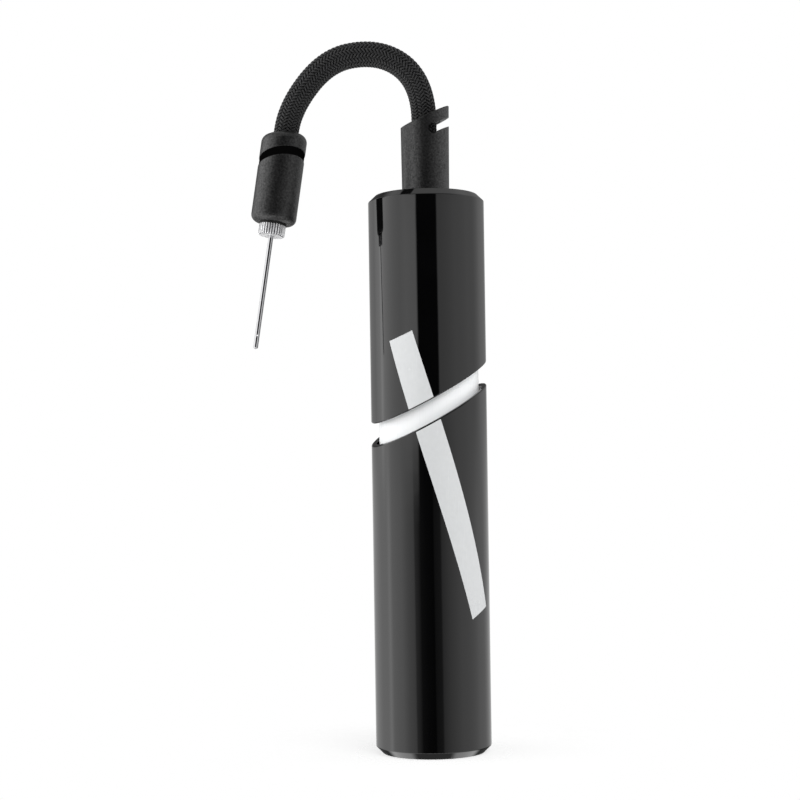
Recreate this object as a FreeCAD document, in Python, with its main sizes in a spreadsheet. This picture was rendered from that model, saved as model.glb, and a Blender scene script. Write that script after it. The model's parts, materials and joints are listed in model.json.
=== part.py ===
import FreeCAD, Part
import math
import os
import re

import Sketcher
from FreeCAD import Placement, Rotation, Vector

# Ball inflation pump, in millimetres.
# Pump frame: the origin is the centre of the base, +Z runs up the pump and +X points
# away from the hose. Nozzle frame: the origin is the needle's tip and +Z runs to the hose.

DIMENSIONS = {
    # hand grips
    "body_d": 34.0,
    "body_height": 163.2,
    "sleeve_wall": 1.6,
    "top_plate": 3.0,
    "top_chamfer_rise": 1.9,
    "top_chamfer_run": 2.0,
    "chamfer_round": 0.3,
    "upper_rim": 105.6,
    "lower_rim": 99.1,
    "rim_round": 0.35,
    "rim_tilt": 29.0,
    "rim_turn": 19.5,
    # bottom cap
    "cap_chamfer_rise": 2.0,
    "cap_chamfer_run": 2.0,
    "cap_flange": 2.6,
    "cap_floor": 4.0,
    "cap_rim": 7.0,
    "cap_wall": 1.8,
    "cap_boss_d": 14.0,
    "cap_boss_top": 9.5,
    "screw_recess": 2.0,
    "screw_recess_d": 6.8,
    # barrel
    "barrel_d": 29.4,
    "bore_d": 26.6,
    "barrel_foot": 18.5,
    "collar_length": 14.0,
    "collar_drop": 2.0,
    # head plug and its seal
    "plug_flange": 2.2,
    "plug_depth": 11.0,
    "plug_groove_drop": 6.5,
    "plug_groove_width": 2.0,
    "seal_cord_d": 1.7,
    # outlet valve
    "inlet_d": 3.0,
    "chamber_d": 8.0,
    "chamber_floor": 2.0,
    "seat_bore_d": 2.4,
    "seat_height": 2.0,
    "seat_lip_d": 4.4,
    "seat_lip": 0.4,
    "disc_d": 5.8,
    "disc_thickness": 1.15,
    "disc_clearance": 0.05,
    "disc_pip_d": 2.4,
    "disc_pip": 1.0,
    "disc_pip_taper": 0.4,
    "spring_d": 3.8,
    "spring_wire": 0.4,
    "spring_height": 2.3,
    "spring_turns": 3.5,
    # hose and its fittings
    "hose_d": 7.35,
    "hose_bore_d": 3.6,
    "air_way_d": 2.0,
    "barb_root_d": 2.9,
    "barbs": 3,
    "barb_pitch": 1.8,
    "barb_shoulder": 0.5,
    "barb_gap": 0.2,
    "barb_base": 1.5,
    "barb_stem_d": 6.0,
    "hose_foot": 169.0,
    "ferrule_wall": 0.8,
    "ferrule_length": 6.0,
    # hose guide
    "guide_d": 13.85,
    "guide_taper": 0.5,
    "guide_bore_d": 9.6,
    "guide_floor": 3.0,
    "guide_spigot_d": 11.0,
    "guide_spigot": 6.7,
    "guide_top": 186.6,
    "guide_tilt": 25.2,
    "guide_turn": 14.8,
    "guide_edge_round": 0.3,
    "slot_middle": 181.7,
    "slot_width": 2.4,
    "slot_end": 0.6,
    "slot_end_d": 3.0,
    # piston rod, piston and gland
    "rod_d": 8.0,
    "screw_d": 3.0,
    "screw_head_d": 6.2,
    "screw_head": 1.6,
    "screw_reach": 12.0,
    "key_across": 2.5,
    "key_depth": 1.0,
    "key_turn": 20.0,
    "running_gap": 0.05,
    "piston_foot": 126.0,
    "piston_d": 25.8,
    "piston_height": 14.0,
    "rod_socket": 5.0,
    "piston_web": 6.0,
    "piston_recess_d": 7.2,
    "guide_groove": 2.5,
    "guide_ring": 3.0,
    "guide_ring_root_d": 23.8,
    "guide_ring_arc": 352.0,
    "seal_groove": 8.5,
    "seal_width": 3.5,
    "seal_root_d": 22.0,
    "seal_web": 1.2,
    "seal_well_d": 24.0,
    "seal_lip_d": 25.2,
    "seal_lip_edge": 0.5,
    "groove_play": 0.1,
    "notch_d": 2.4,
    "gland_flange": 2.5,
    "gland_spigot": 6.0,
    "gland_bevel": 0.5,
    "vent_d": 2.4,
    "vent_ring_d": 19.0,
    "bumper_d": 15.0,
    "bumper_bore_d": 9.2,
    "bumper": 2.0,
    # nozzle, along its own axis from the needle's tip
    "needle_d": 1.4,
    "needle_bore_d": 0.7,
    "needle_reach": 33.6,
    "needle_eye": 4.0,
    "needle_eye_d": 0.6,
    "needle_tip_wall": 1.5,
    "needle_tip_round": 0.644,
    "needle_root_d": 1.8,
    "hub_d": 7.75,
    "hub_reach": 3.75,
    "gasket_stand": 0.5,
    "hub_edge": 0.35,
    "flute_d": 0.62,
    "flute_ring_d": 7.75,
    "flutes": 30,
    "stem_d": 5.1,
    "stem_root_d": 4.5,
    "stem_pitch": 0.8,
    "stem_length": 6.0,
    "nozzle_d": 13.3,
    "nozzle_length": 26.55,
    "nozzle_foot_round": 2.0,
    "nozzle_neck_d": 10.8,
    "nozzle_ring_d": 13.0,
    "nozzle_recess_d": 7.9,
    "nozzle_recess": 0.6,
    "groove_low": 17.6,
    "groove_high": 19.95,
    "groove_tilt": 19.3,
    "groove_turn": -48.0,
    "neck_overlap": 2.6,
    "nozzle_edge_round": 0.25,
    "nozzle_lip_round": 0.12,
    "nozzle_cap_tilt": 8.0,
    "nozzle_dome": 2.4,
    "cap_mouth_d": 7.75,
    "cap_mouth_round": 0.4,
    "gasket_bore_d": 5.6,
    "socket_d": 9.0,
    "socket_length": 11.05,
    "socket_floor": 2.5,
    # where the nozzle hangs: the point where the hose enters it, and its lean
    "nozzle_x": -41.08,
    "nozzle_y": 0.0,
    "nozzle_z": 181.8,
    "nozzle_lean": 8.4,
    "nozzle_forward": 4.0,
}

# The hose's route, from its foot in the hose guide to its end in the nozzle.
HOSE_ROUTE = [
    (0.0, 0.0, 169.0),
    (-0.1, 0.0, 179.0),
    (-0.3, 0.0, 192.8),
    (-5.4, 0.1, 201.9),
    (-15.4, 0.3, 206.1),
    (-28.6, 0.6, 203.7),
    (-39.3, 0.6, 190.4),
    (-41.7, -0.3, 177.5),
    (-43.03, -0.92, 168.58),
]
BEND_SHARE = 0.45

doc = FreeCAD.newDocument("ball_pump")
sheet = doc.addObject("Spreadsheet::Sheet", "dims")
for row, (alias, number) in enumerate(DIMENSIONS.items(), start=1):
    sheet.set(f"A{row}", alias)
    sheet.set(f"B{row}", str(number))
    sheet.setAlias(f"B{row}", alias)
doc.recompute()

SUBPARTS = []


def bound(formula):
    """A formula with each dimension's name pointed at its cell in the sheet."""
    def cell(word):
        name = word.group(0)
        return f"dims.{name}" if name in DIMENSIONS else name
    return re.sub(r"[a-z]\w*", cell, formula)


def value(formula):
    return float(sheet.evalExpression(bound(formula)))


# ---------------------------------------------------------------- building blocks

def new_body(label):
    body = doc.addObject("PartDesign::Body", label)
    SUBPARTS.append(body)
    return body


def flat_sketch(body, name, role, turn="0"):
    """A sketch on an origin plane of its body, turned about the plane's upright axis."""
    sketch = body.newObject("Sketcher::SketchObject", name)
    plane = next(p for p in body.Origin.OriginFeatures if p.Role == role)
    sketch.AttachmentSupport = (plane, "")
    sketch.MapMode = "FlatFace"
    sketch.AttachmentOffset = Placement(Vector(), Rotation(Vector(0, 1, 0), value(turn)))
    return sketch


def hold(sketch, kind, first, point, formula, number):
    """Hold a point's distance from the sketch's origin to a formula."""
    if formula == "0":
        axis = -2 if kind == "DistanceX" else -1
        sketch.addConstraint(Sketcher.Constraint("PointOnObject", first, point, axis))
        return
    index = sketch.addConstraint(Sketcher.Constraint(kind, -1, 1, first, point, number))
    name = f"{kind}_{first}_{point}"
    sketch.renameConstraint(index, name)
    sketch.setExpression(f"Constraints.{name}", bound(formula))


def outline_sketch(body, name, corners, role="XZ_Plane", turn="0"):
    """A closed outline of straight sides; each corner is a pair of formulas."""
    sketch = flat_sketch(body, name, role, turn)
    points = [Vector(value(across), value(up), 0) for across, up in corners]
    count = len(points)
    for i, point in enumerate(points):
        sketch.addGeometry(Part.LineSegment(point, points[(i + 1) % count]))
    for i, (across, up) in enumerate(corners):
        sketch.addConstraint(Sketcher.Constraint("Coincident", i, 1, (i - 1) % count, 2))
        hold(sketch, "DistanceX", i, 1, across, points[i].x)
        hold(sketch, "DistanceY", i, 1, up, points[i].y)
    return sketch


def circle_sketch(body, name, centre, diameter, role="XY_Plane", turn="0"):
    sketch = flat_sketch(body, name, role, turn)
    across, up = (value(formula) for formula in centre)
    radius = value(f"({diameter}) / 2")
    sketch.addGeometry(Part.Circle(Vector(across, up, 0), Vector(0, 0, 1), radius))
    hold(sketch, "DistanceX", 0, 3, centre[0], across)
    hold(sketch, "DistanceY", 0, 3, centre[1], up)
    index = sketch.addConstraint(Sketcher.Constraint("Radius", 0, radius))
    sketch.renameConstraint(index, "radius")
    sketch.setExpression("Constraints.radius", bound(f"({diameter}) / 2"))
    return sketch


def turn_outline(body, name, corners, arc="360"):
    """Spin an outline of (diameter, height) pairs round the body's own axis."""
    radii = [(f"({d}) / 2" if d != "0" else "0", up) for d, up in corners]
    sketch = outline_sketch(body, f"{name}_outline", radii)
    feature = body.newObject("PartDesign::Revolution", name)
    feature.Profile = sketch
    feature.ReferenceAxis = (sketch, ["V_Axis"])
    feature.setExpression("Angle", bound(arc))
    doc.recompute()
    return feature


def turned(label, corners, arc="360"):
    body = new_body(label)
    turn_outline(body, f"{label}_turned", corners, arc)
    return body


def pocket(body, sketch, name, depth=None):
    """Cut a sketch out of its body: upwards to a depth, or both ways through all of it."""
    before = body.Shape.Volume
    feature = body.newObject("PartDesign::Pocket", name)
    feature.Profile = sketch
    if depth is None:
        feature.Type = "ThroughAll"
        feature.SideType = "Symmetric"
    else:
        feature.Type = "Length"
        feature.setExpression("Length", bound(depth))
        feature.Reversed = True
    doc.recompute()
    if body.Shape.Volume >= before:
        raise RuntimeError(f"{name} cuts nothing")
    return feature


def slanted_cut(body, name, height, tilt, turn, above):
    """Cut away what lies above, or below, a slanted plane that crosses the axis at height."""
    reach = "body_d"
    rise = f"{reach} * tan({tilt} * 1 deg)"
    far = f"{height} + 2 * body_d" if above else f"{height} - 2 * body_d"
    corners = [
        (f"-{reach}", f"{height} - {rise}"),
        (reach, f"{height} + {rise}"),
        (reach, far),
        (f"-{reach}", far),
    ]
    sketch = outline_sketch(body, f"{name}_outline", corners, turn=turn)
    return pocket(body, sketch, name)


def ring_of(body, feature, name, count):
    """Repeat a feature evenly round the body's own axis."""
    pattern = body.newObject("PartDesign::PolarPattern", name)
    pattern.Originals = [feature]
    axis = next(line for line in body.Origin.OriginFeatures if line.Role == "Z_Axis")
    pattern.Axis = (axis, [""])
    pattern.Angle = 360
    pattern.setExpression("Occurrences", bound(count))
    body.Tip = pattern
    doc.recompute()
    return pattern


def round_edges(body, name, radius, wanted):
    """Round the edges of a body for which wanted(edge) is true."""
    base = body.Tip
    names = [f"Edge{i}" for i, edge in enumerate(base.Shape.Edges, start=1) if wanted(edge)]
    if not names:
        raise RuntimeError(f"{name} finds no edge")
    feature = body.newObject("PartDesign::Fillet", name)
    feature.Base = (base, names)
    feature.setExpression("Radius", bound(radius))
    doc.recompute()
    return feature


def is_ring(diameter, height):
    """A test for the full circle of this diameter at this height on the body's axis."""
    radius = value(f"({diameter}) / 2")
    level = value(height)

    def wanted(edge):
        if not isinstance(edge.Curve, Part.Circle):
            return False
        same_radius = abs(edge.Curve.Radius - radius) < 1e-3
        return same_radius and abs(edge.Curve.Center.z - level) < 1e-3
    return wanted


def is_slanted(diameter=None, below=None):
    """A test for the oval edges that a slanted cut leaves, on one diameter or below a height."""
    def wanted(edge):
        if isinstance(edge.Curve, (Part.Circle, Part.Line)):
            return False
        if below is not None and edge.BoundBox.ZMax > value(below):
            return False
        if diameter is None:
            return True
        radius = value(f"({diameter}) / 2")
        first = edge.Vertexes[0].Point
        return abs(math.hypot(first.x, first.y) - radius) < 1e-3
    return wanted


def key_recess(body, name, floor):
    """A six-sided recess for a key, upwards from its floor."""
    reach = "key_across / (2 * cos(30 * 1 deg))"
    corners = []
    for turn in range(0, 360, 60):
        bearing = f"({turn} + key_turn) * 1 deg"
        corners.append((f"{reach} * cos({bearing})", f"{reach} * sin({bearing})"))
    sketch = outline_sketch(body, f"{name}_outline", corners, role="XY_Plane")
    sketch.AttachmentOffset = Placement(Vector(0, 0, value(floor)), Rotation())
    return pocket(body, sketch, name, "key_depth")


# ---------------------------------------------------------------- levels, as formulas

sleeve_bore = "(body_d - 2 * sleeve_wall)"
plate_under = "(body_height - top_plate)"
barrel_top = f"({plate_under} - plug_flange)"
plug_under = f"({barrel_top} - plug_depth)"
chamber_foot = f"({plug_under} + chamber_floor)"
seat_top = f"({chamber_foot} + seat_height)"
disc_foot = f"({seat_top} + disc_clearance)"
disc_top = f"({disc_foot} + disc_thickness)"
guide_foot = "(body_height - guide_spigot)"
barb_foot = f"({guide_foot} - barb_base)"
gland_foot = "(barrel_foot - gland_flange)"
gland_top = "(barrel_foot + gland_spigot)"
rod_top = "(piston_foot + rod_socket)"
screw_seat = f"({rod_top} + piston_web)"
piston_top = "(piston_foot + piston_height)"
nozzle_foot = "(needle_reach + hub_reach)"
nozzle_top = f"({nozzle_foot} + nozzle_length)"
neck_top = f"({nozzle_foot} + groove_high + neck_overlap)"
hub_top = f"({nozzle_foot} - gasket_stand)"
socket_foot = f"({nozzle_foot} + nozzle_recess)"
socket_top = f"({socket_foot} + socket_length)"
hose_end = f"({socket_top} + barb_base)"


# ---------------------------------------------------------------- hand grips

def upper_sleeve():
    """Upper hand grip: a closed tube with a chamfered top and a slanted lower rim."""
    body = turned("upper_sleeve", [
        (sleeve_bore, "lower_rim - body_d"),
        ("body_d", "lower_rim - body_d"),
        ("body_d", "body_height - top_chamfer_rise"),
        ("body_d - 2 * top_chamfer_run", "body_height"),
        ("guide_spigot_d", "body_height"),
        ("guide_spigot_d", plate_under),
        (sleeve_bore, plate_under),
    ])
    slanted_cut(body, "upper_rim_cut", "upper_rim", "rim_tilt", "rim_turn", above=False)
    round_edges(body, "upper_rim_edges", "rim_round", is_slanted())
    outer = is_ring("body_d", "body_height - top_chamfer_rise")
    inner = is_ring("body_d - 2 * top_chamfer_run", "body_height")
    round_edges(body, "top_edges", "chamfer_round", lambda edge: outer(edge) or inner(edge))


def lower_sleeve():
    """Lower hand grip: an open tube with a slanted upper rim."""
    body = turned("lower_sleeve", [
        (sleeve_bore, "cap_flange"),
        ("body_d", "cap_flange"),
        ("body_d", "lower_rim + body_d"),
        (sleeve_bore, "lower_rim + body_d"),
    ])
    slanted_cut(body, "lower_rim_cut", "lower_rim", "rim_tilt", "rim_turn", above=True)
    round_edges(body, "lower_rim_edges", "rim_round", is_slanted())


def bottom_cap():
    """End cap of the lower grip; its boss holds the piston rod."""
    body = turned("bottom_cap", [
        ("screw_recess_d", "0"),
        ("body_d - 2 * cap_chamfer_run", "0"),
        ("body_d", "cap_chamfer_rise"),
        ("body_d", "cap_flange"),
        (sleeve_bore, "cap_flange"),
        (sleeve_bore, "cap_rim"),
        (f"{sleeve_bore} - 2 * cap_wall", "cap_rim"),
        (f"{sleeve_bore} - 2 * cap_wall", "cap_floor"),
        ("cap_boss_d", "cap_floor"),
        ("cap_boss_d", "cap_boss_top"),
        ("rod_d", "cap_boss_top"),
        ("rod_d", "cap_floor"),
        ("screw_d", "cap_floor"),
        ("screw_d", "screw_recess"),
        ("screw_recess_d", "screw_recess"),
    ])
    round_edges(body, "cap_edge", "chamfer_round", is_ring("body_d", "cap_chamfer_rise"))


# ---------------------------------------------------------------- barrel and head

def barrel():
    """The white inner tube in which the piston runs."""
    turned("barrel", [
        ("bore_d", "barrel_foot"),
        ("barrel_d", "barrel_foot"),
        ("barrel_d", barrel_top),
        ("bore_d", barrel_top),
    ])


def barrel_collar():
    """Ring that centres the top of the barrel in the upper grip."""
    turned("barrel_collar", [
        ("barrel_d", f"{barrel_top} - collar_drop - collar_length"),
        (sleeve_bore, f"{barrel_top} - collar_drop - collar_length"),
        (sleeve_bore, f"{barrel_top} - collar_drop"),
        ("barrel_d", f"{barrel_top} - collar_drop"),
    ])


def head_plug():
    """Closes the top of the barrel and carries the outlet valve's chamber."""
    groove_foot = f"({barrel_top} - plug_groove_drop)"
    turned("head_plug", [
        ("inlet_d", plug_under),
        ("bore_d", plug_under),
        ("bore_d", groove_foot),
        ("bore_d - 2 * seal_cord_d", groove_foot),
        ("bore_d - 2 * seal_cord_d", f"{groove_foot} + plug_groove_width"),
        ("bore_d", f"{groove_foot} + plug_groove_width"),
        ("bore_d", barrel_top),
        ("barrel_d", barrel_top),
        ("barrel_d", plate_under),
        ("guide_spigot_d", plate_under),
        ("guide_spigot_d", guide_foot),
        ("chamber_d", guide_foot),
        ("chamber_d", chamber_foot),
        ("inlet_d", chamber_foot),
    ])


def head_seal():
    """O-ring in the head plug's groove."""
    ring = doc.addObject("Part::Torus", "head_seal")
    ring.setExpression("Radius1", bound("bore_d / 2 - seal_cord_d / 2"))
    ring.setExpression("Radius2", bound("seal_cord_d / 2"))
    middle = f"{barrel_top} - plug_groove_drop + plug_groove_width / 2"
    ring.setExpression("Placement.Base.z", bound(middle))
    SUBPARTS.append(ring)


def valve_seat():
    """Nylon insert with the raised lip that the valve disc closes on."""
    turned("valve_seat", [
        ("seat_bore_d", chamber_foot),
        ("chamber_d", chamber_foot),
        ("chamber_d", f"{seat_top} - seat_lip"),
        ("seat_lip_d", f"{seat_top} - seat_lip"),
        ("seat_lip_d - seat_lip", seat_top),
        ("seat_bore_d", seat_top),
    ])


def valve_disc():
    """Disc that opens towards the hose; its pip centres the spring."""
    turned("valve_disc", [
        ("0", disc_foot),
        ("disc_d", disc_foot),
        ("disc_d", disc_top),
        ("disc_pip_d", disc_top),
        ("disc_pip_d - disc_pip_taper", f"{disc_top} + disc_pip"),
        ("0", f"{disc_top} + disc_pip"),
    ])


def valve_spring():
    """Wire spring between the valve disc and the foot of the hose barb."""
    helix = doc.addObject("Part::Helix", "spring_helix")
    helix.setExpression("Radius", bound("spring_d / 2"))
    helix.setExpression("Pitch", bound("spring_height / spring_turns"))
    helix.setExpression("Height", bound("spring_height"))
    wire = doc.addObject("Part::Circle", "spring_wire")
    wire.setExpression("Radius", bound("spring_wire / 2"))
    wire.Placement = Placement(Vector(value("spring_d / 2"), 0, 0), Rotation(Vector(1, 0, 0), 90))
    spring = doc.addObject("Part::Sweep", "valve_spring")
    spring.Sections = [wire]
    spring.Spine = (helix, [])
    spring.Solid = True
    spring.Frenet = True
    spring.setExpression("Placement.Base.z", bound(f"{disc_top} + spring_wire / 2"))
    SUBPARTS.append(spring)


def barbed_tail(foot):
    """Outline corners of the barbed tail that a hose is pushed on, from its foot upwards."""
    corners = [("barb_stem_d", foot), ("barb_root_d", foot)]
    for i in range(int(value("barbs"))):
        shoulder = f"{foot} + {i} * barb_pitch + barb_shoulder"
        corners.append(("hose_bore_d", shoulder))
        corners.append(("barb_root_d", f"{shoulder} + barb_pitch - barb_gap"))
    corners.append(("air_way_d", f"{foot} + barbs * barb_pitch + barb_shoulder - barb_gap"))
    return corners


def hose_barb():
    """Brass barb, held in the head plug by the hose guide's spigot."""
    turned("hose_barb", [
        ("air_way_d", barb_foot),
        ("chamber_d", barb_foot),
        ("chamber_d", guide_foot),
        ("barb_stem_d", guide_foot),
        *barbed_tail("hose_foot"),
    ])


def ferrule(label, foot):
    """Collar crimped over the end of the hose."""
    return turned(label, [
        ("hose_d", foot),
        ("hose_d + 2 * ferrule_wall", foot),
        ("hose_d + 2 * ferrule_wall", f"{foot} + ferrule_length"),
        ("hose_d", f"{foot} + ferrule_length"),
    ])


def hose_guide():
    """Stub that clamps the grip to the head plug; its end and its side slot are slanted."""
    rise = "(guide_top + guide_d - body_height)"
    body = turned("hose_guide", [
        ("barb_stem_d", guide_foot),
        ("guide_spigot_d", guide_foot),
        ("guide_spigot_d", "body_height"),
        ("guide_d", "body_height"),
        (f"guide_d + 2 * {rise} * tan(guide_taper * 1 deg)", f"body_height + {rise}"),
        ("guide_bore_d", f"body_height + {rise}"),
        ("guide_bore_d", "body_height + guide_floor"),
        ("barb_stem_d", "body_height + guide_floor"),
    ])
    slanted_cut(body, "guide_top_cut", "guide_top", "guide_tilt", "guide_turn", above=True)
    round_edges(body, "guide_top_edges", "guide_edge_round", is_slanted())
    cut_side_slot(body)


def cut_side_slot(body):
    """Slot parallel to the slanted end, open on the +X side, with a wider round inner end."""
    tilt = "guide_tilt * 1 deg"
    middle = f"(slot_middle + slot_end * tan({tilt}))"
    across = f"slot_width / 2 * sin({tilt})"
    along = f"slot_width / 2 * cos({tilt})"
    run = "guide_d"
    rise = f"guide_d * tan({tilt})"
    straight = outline_sketch(body, "slot_outline", [
        (f"slot_end - {across}", f"{middle} + {along}"),
        (f"slot_end + {across}", f"{middle} - {along}"),
        (f"slot_end + {across} + {run}", f"{middle} - {along} + {rise}"),
        (f"slot_end - {across} + {run}", f"{middle} + {along} + {rise}"),
    ], turn="guide_turn")
    pocket(body, straight, "slot_cut")
    rounded = circle_sketch(body, "slot_end_outline", ("slot_end", middle), "slot_end_d",
                            role="XZ_Plane", turn="guide_turn")
    pocket(body, rounded, "slot_end_cut")


# ---------------------------------------------------------------- rod, piston and gland

def cap_screw(label, seat, downwards):
    """Socket screw; its head lies below the seat when it is driven from below."""
    head = "- screw_head" if downwards else "+ screw_head"
    shank = "+ screw_reach" if downwards else "- screw_reach"
    body = turned(label, [
        ("0", f"{seat} {head}"),
        ("screw_head_d", f"{seat} {head}"),
        ("screw_head_d", seat),
        ("screw_d", seat),
        ("screw_d", f"{seat} {shank}"),
        ("0", f"{seat} {shank}"),
    ])
    floor = f"{seat} {head}" if downwards else f"{seat} {head} - key_depth"
    key_recess(body, f"{label}_key", floor)


def piston_rod():
    """Steel tube from the bottom cap to the piston."""
    turned("piston_rod", [
        ("screw_d", "cap_floor"),
        ("rod_d", "cap_floor"),
        ("rod_d", rod_top),
        ("screw_d", rod_top),
    ])


def piston():
    """Piston with a groove each for its guide ring and its cup seal."""
    ring_top = "guide_groove + guide_ring"
    seal_top = "seal_groove + seal_width"
    body = turned("piston", [
        ("rod_d", "piston_foot"),
        ("piston_d", "piston_foot"),
        ("piston_d", "piston_foot + guide_groove"),
        ("guide_ring_root_d", "piston_foot + guide_groove"),
        ("guide_ring_root_d", f"piston_foot + {ring_top}"),
        ("piston_d", f"piston_foot + {ring_top}"),
        ("piston_d", "piston_foot + seal_groove"),
        ("seal_root_d", "piston_foot + seal_groove"),
        ("seal_root_d", f"piston_foot + {seal_top}"),
        ("piston_d", f"piston_foot + {seal_top}"),
        ("piston_d", piston_top),
        ("piston_recess_d", piston_top),
        ("piston_recess_d", screw_seat),
        ("screw_d", screw_seat),
        ("screw_d", rod_top),
        ("rod_d", rod_top),
    ])
    notch = circle_sketch(body, "notch_outline", ("piston_d / 2", "0"), "notch_d")
    cut = pocket(body, notch, "notch_cut", "piston_foot + seal_groove")
    ring_of(body, cut, "notches", "6")


def piston_seal():
    """Cup seal: its lip holds the stroke's air and folds in to let fresh air past."""
    foot = "(piston_foot + seal_groove + groove_play)"
    turned("piston_seal", [
        ("seal_root_d + groove_play", foot),
        ("piston_d", foot),
        ("bore_d - 2 * running_gap", f"{foot} + seal_width - seal_lip_edge"),
        ("seal_lip_d", f"{foot} + seal_width - 2 * groove_play"),
        ("seal_well_d", f"{foot} + seal_web"),
        ("seal_root_d + groove_play", f"{foot} + seal_web"),
    ])


def piston_guide_ring():
    """Split ring that keeps the piston central in the barrel."""
    foot = "(piston_foot + guide_groove + groove_play)"
    top = f"({foot} + guide_ring - 2 * groove_play)"
    turned("piston_guide_ring", [
        ("guide_ring_root_d + groove_play", foot),
        ("bore_d - 3 * running_gap", foot),
        ("bore_d - 3 * running_gap", top),
        ("guide_ring_root_d + groove_play", top),
    ], arc="guide_ring_arc")


def rod_gland():
    """End cap of the barrel: it guides the rod, keeps the piston in and lets air in."""
    body = turned("rod_gland", [
        ("rod_d + 2 * running_gap", gland_foot),
        ("barrel_d - 2 * gland_bevel", gland_foot),
        ("barrel_d", f"{gland_foot} + gland_bevel"),
        ("barrel_d", "barrel_foot"),
        ("bore_d", "barrel_foot"),
        ("bore_d", gland_top),
        ("rod_d + 2 * running_gap", gland_top),
    ])
    vent = circle_sketch(body, "vent_outline", ("vent_ring_d / 2", "0"), "vent_d")
    cut = pocket(body, vent, "vent_cut", "piston_foot")
    ring_of(body, cut, "vents", "6")


def gland_bumper():
    """Rubber washer that the piston meets at full draw."""
    turned("gland_bumper", [
        ("bumper_bore_d", gland_top),
        ("bumper_d", gland_top),
        ("bumper_d", f"{gland_top} + bumper"),
        ("bumper_bore_d", f"{gland_top} + bumper"),
    ])


# ---------------------------------------------------------------- nozzle and needle

def column(diameter, top):
    """Outline of a round column that starts inside the nozzle's grip."""
    foot = f"{nozzle_foot} + nozzle_foot_round"
    return [("0", foot), (diameter, foot), (diameter, top), ("0", top)]


def nozzle_body():
    """Grip of the nozzle: a slanted upper edge, a smooth ring above it and a thinner neck."""
    body = turned("nozzle_body", [
        ("0", nozzle_foot),
        ("nozzle_d", nozzle_foot),
        ("nozzle_d", nozzle_top),
        ("0", nozzle_top),
    ])
    slanted_cut(body, "nozzle_edge_cut", f"({nozzle_foot} + groove_low)",
                "groove_tilt", "groove_turn", above=True)
    round_edges(body, "nozzle_edge", "nozzle_edge_round", is_slanted("nozzle_d"))
    round_edges(body, "nozzle_foot_edge", "nozzle_foot_round", is_ring("nozzle_d", nozzle_foot))
    turn_outline(body, "nozzle_ring", column("nozzle_ring_d", nozzle_top))
    slanted_cut(body, "nozzle_ring_cut", f"({nozzle_foot} + groove_high)",
                "groove_tilt", "groove_turn", above=True)
    turn_outline(body, "nozzle_neck", column("nozzle_neck_d", neck_top))
    bore = circle_sketch(body, "nozzle_bore_outline", ("0", "0"), "socket_d")
    bore.AttachmentOffset = Placement(Vector(0, 0, value(socket_foot)), Rotation())
    pocket(body, bore, "nozzle_bore", "nozzle_length")
    recess = circle_sketch(body, "nozzle_recess_outline", ("0", "0"), "nozzle_recess_d")
    pocket(body, recess, "nozzle_recess_cut", socket_foot)
    return body


def nozzle_cap():
    """Domed cap over the hose's end; its slanted lower edge follows the body's."""
    lip = f"({nozzle_foot} + groove_high)"
    dome_foot = f"({nozzle_top} - nozzle_dome)"
    body = turned("nozzle_cap", [
        ("nozzle_neck_d", nozzle_foot),
        ("nozzle_d", nozzle_foot),
        ("nozzle_d", f"{nozzle_top} + nozzle_d"),
        ("cap_mouth_d", f"{nozzle_top} + nozzle_d"),
        ("cap_mouth_d", neck_top),
        ("nozzle_neck_d", neck_top),
    ])
    slanted_cut(body, "cap_top_cut", nozzle_top, "nozzle_cap_tilt", "0", above=True)
    round_edges(body, "cap_dome", "nozzle_dome", is_slanted("nozzle_d"))
    round_edges(body, "cap_mouth", "cap_mouth_round", is_slanted("cap_mouth_d"))
    slanted_cut(body, "cap_edge_cut", lip, "groove_tilt", "groove_turn", above=False)
    round_edges(body, "cap_lip", "nozzle_lip_round", is_slanted("nozzle_d", below=dome_foot))
    return body


def nozzle_socket():
    """Brass insert whose thread takes the needle's hub."""
    return turned("nozzle_socket", [
        ("stem_d + 2 * running_gap", socket_foot),
        ("socket_d", socket_foot),
        ("socket_d", socket_top),
        ("air_way_d", socket_top),
        ("air_way_d", f"{socket_top} - socket_floor"),
        ("stem_d + 2 * running_gap", f"{socket_top} - socket_floor"),
    ])


def nozzle_barb():
    """Brass barb that holds the hose on top of the socket."""
    return turned("nozzle_barb", [
        ("air_way_d", socket_top),
        ("socket_d", socket_top),
        ("socket_d", hose_end),
        *barbed_tail(hose_end),
    ])


def nozzle_gasket():
    """Rubber washer that the needle's hub presses on."""
    return turned("nozzle_gasket", [
        ("gasket_bore_d", hub_top),
        ("nozzle_recess_d", hub_top),
        ("nozzle_recess_d", socket_foot),
        ("gasket_bore_d", socket_foot),
    ])


def needle_hub():
    """Fluted hub with a threaded stem."""
    corners = [
        ("needle_root_d", "needle_reach"),
        ("hub_d - 2 * hub_edge", "needle_reach"),
        ("hub_d", "needle_reach + hub_edge"),
        ("hub_d", hub_top),
        ("stem_root_d", hub_top),
    ]
    for i in range(int(value("stem_length / stem_pitch"))):
        corners.append(("stem_d", f"{hub_top} + {i + 0.5} * stem_pitch"))
        corners.append(("stem_root_d", f"{hub_top} + {i + 1} * stem_pitch"))
    corners.append(("stem_root_d", f"{hub_top} + stem_length"))
    corners.append(("needle_root_d", f"{hub_top} + stem_length"))
    body = turned("needle_hub", corners)
    flute = circle_sketch(body, "flute_outline", ("flute_ring_d / 2", "0"), "flute_d")
    cut = pocket(body, flute, "flute_cut", hub_top)
    ring_of(body, cut, "flute_ring", "flutes")
    return body


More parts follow.
